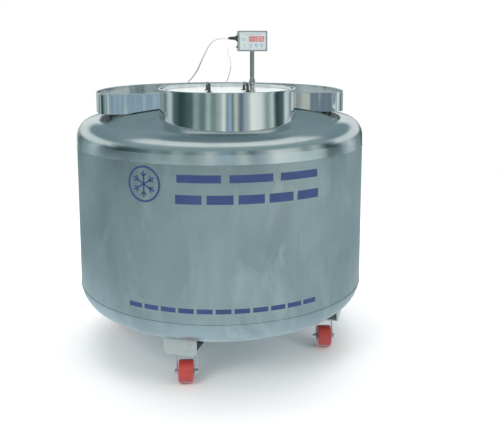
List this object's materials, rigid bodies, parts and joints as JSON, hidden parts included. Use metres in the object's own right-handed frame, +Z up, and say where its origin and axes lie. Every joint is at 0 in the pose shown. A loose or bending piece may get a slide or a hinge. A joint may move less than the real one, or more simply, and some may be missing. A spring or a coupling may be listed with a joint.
{
  "type": "liquid nitrogen dewar",
  "caption": "Round double-walled cryogenic storage vessel with an off-centre wide neck, lift-off lid with gauge display, rear tray and swivel casters.",
  "frame": {"origin": "on the floor under the axis of the round vessel", "axes": "+Z up, the off-centre neck lies towards -Y, the tray towards +Y"},
  "size_m": [1.1022, 1.1417, 1.21],
  "materials": {
    "vessel_steel": "satin ground stainless steel",
    "inner_steel": "mill finish stainless steel",
    "collar_steel": "polished stainless steel",
    "tray_steel": "ground stainless sheet",
    "bracket_steel": "grey painted folded steel",
    "zinc_steel": "bright zinc plate",
    "neck_laminate": "glass-fibre laminate",
    "foil_blanket": "layered foil and paper",
    "tyre_red": "cast polyurethane",
    "hub_grey": "moulded nylon",
    "lid_white": "white powder coat",
    "foam": "rigid closed-cell foam",
    "seal_rubber": "soft gasket",
    "display_grey": "fine moulded texture",
    "window_red": "tinted filter",
    "board_green": "solder-resist lacquer",
    "digit_plastic": "epoxy",
    "key_blue": "moulded",
    "lamp_green": "clear tinted",
    "black_plastic": "moulded nylon",
    "lead_grey": "flexible jacket",
    "sensor_white": "thin flexible jacket",
    "pin_brass": "plated",
    "canister_steel": "perforated"
  },
  "bodies": {
    "root": {"outer_shell": "vessel_steel", "outer_top_head": "vessel_steel", "outer_bottom_head": "vessel_steel", "inner_cylinder": "inner_steel", "inner_top_head": "inner_steel", "inner_bottom_head": "inner_steel", "insulation_blanket": "foil_blanket", "support_post": "neck_laminate", "adsorbent_canister": "canister_steel", "evacuation_port": "inner_steel", "port_cap": "zinc_steel", "neck_tube": "neck_laminate", "neck_flange": "vessel_steel", "neck_collar": "collar_steel", "tray_floor": "tray_steel", "tray_band": "tray_steel", "tray_feet": "tray_steel", "caster_brackets": "bracket_steel", "caster_top_plates": "zinc_steel", "caster_bolts": "zinc_steel", "carousel_pivot": "inner_steel", "sensor_feedthrough": "black_plastic", "power_lead": "lead_grey", "sensor_lead": "sensor_white", "lead_coil": "lead_grey", "mains_plug": "black_plastic", "plug_pins": "pin_brass"},
    "lid": {"lid_cover": "lid_white", "foam_plug": "foam", "lid_seal": "seal_rubber", "lid_handles": "vessel_steel", "gauge_post": "vessel_steel", "probe_rod": "inner_steel", "gland_body": "vessel_steel", "gland_nut": "vessel_steel", "display_front": "display_grey", "display_back": "display_grey", "display_window": "window_red", "circuit_board": "board_green", "digit_module": "digit_plastic", "status_lamp": "lamp_green", "lead_gland": "black_plastic", "sensor_grommet": "black_plastic"},
    "key_1_body": {"key_1": "key_blue"},
    "key_2_body": {"key_2": "key_blue"},
    "key_3_body": {"key_3": "key_blue"},
    "swivel_1": {"caster_fork_1": "zinc_steel"},
    "wheel_1": {"caster_hub_1": "hub_grey", "caster_tyre_1": "tyre_red"},
    "swivel_2": {"caster_fork_2": "zinc_steel"},
    "wheel_2": {"caster_hub_2": "hub_grey", "caster_tyre_2": "tyre_red"},
    "swivel_3": {"caster_fork_3": "zinc_steel"},
    "wheel_3": {"caster_hub_3": "hub_grey", "caster_tyre_3": "tyre_red"},
    "swivel_4": {"caster_fork_4": "zinc_steel"},
    "wheel_4": {"caster_hub_4": "hub_grey", "caster_tyre_4": "tyre_red"},
    "carousel": {"carousel_tray": "inner_steel", "carousel_dividers": "inner_steel"}
  },
  "joints": [
    {"name": "lid_lift", "type": "slide", "parent": "root", "child": "lid", "axis": [0, 0, 1], "range_m": [0, 0.32], "deforming": ["power_lead", "sensor_lead"]},
    {"name": "key_1_press", "type": "slide", "parent": "lid", "child": "key_1_body", "axis": [0, 1, 0], "range_m": [0, 0.001], "stiffness_N_per_m": 400, "springref_m": -0.0005},
    {"name": "key_2_press", "type": "slide", "parent": "lid", "child": "key_2_body", "axis": [0, 1, 0], "range_m": [0, 0.001], "stiffness_N_per_m": 400, "springref_m": -0.0005},
    {"name": "key_3_press", "type": "slide", "parent": "lid", "child": "key_3_body", "axis": [0, 1, 0], "range_m": [0, 0.001], "stiffness_N_per_m": 400, "springref_m": -0.0005},
    {"name": "caster_1_swivel", "type": "hinge", "parent": "root", "child": "swivel_1", "pos_m": [-0.15881, -0.38341, 0.1], "axis": [0, 0, 1], "continuous": true},
    {"name": "caster_1_roll", "type": "hinge", "parent": "swivel_1", "child": "wheel_1", "pos_m": [-0.16223, -0.41824, 0.04], "axis": [0.9952, -0.0976, 0], "continuous": true},
    {"name": "caster_2_swivel", "type": "hinge", "parent": "root", "child": "swivel_2", "pos_m": [0.38341, -0.15881, 0.1], "axis": [0, 0, 1], "continuous": true},
    {"name": "caster_2_roll", "type": "hinge", "parent": "swivel_2", "child": "wheel_2", "pos_m": [0.37999, -0.19365, 0.04], "axis": [0.9952, -0.0976, 0], "continuous": true},
    {"name": "caster_3_swivel", "type": "hinge", "parent": "root", "child": "swivel_3", "pos_m": [0.15881, 0.38341, 0.1], "axis": [0, 0, 1], "continuous": true},
    {"name": "caster_3_roll", "type": "hinge", "parent": "swivel_3", "child": "wheel_3", "pos_m": [0.1554, 0.34858, 0.04], "axis": [0.9952, -0.0976, 0], "continuous": true},
    {"name": "caster_4_swivel", "type": "hinge", "parent": "root", "child": "swivel_4", "pos_m": [-0.38341, 0.15881, 0.1], "axis": [0, 0, 1], "continuous": true},
    {"name": "caster_4_roll", "type": "hinge", "parent": "swivel_4", "child": "wheel_4", "pos_m": [-0.38683, 0.12398, 0.04], "axis": [0.9952, -0.0976, 0], "continuous": true},
    {"name": "carousel_spin", "type": "hinge", "parent": "root", "child": "carousel", "pos_m": [0, 0, 0.27], "axis": [0, 0, 1], "continuous": true}
  ]
}
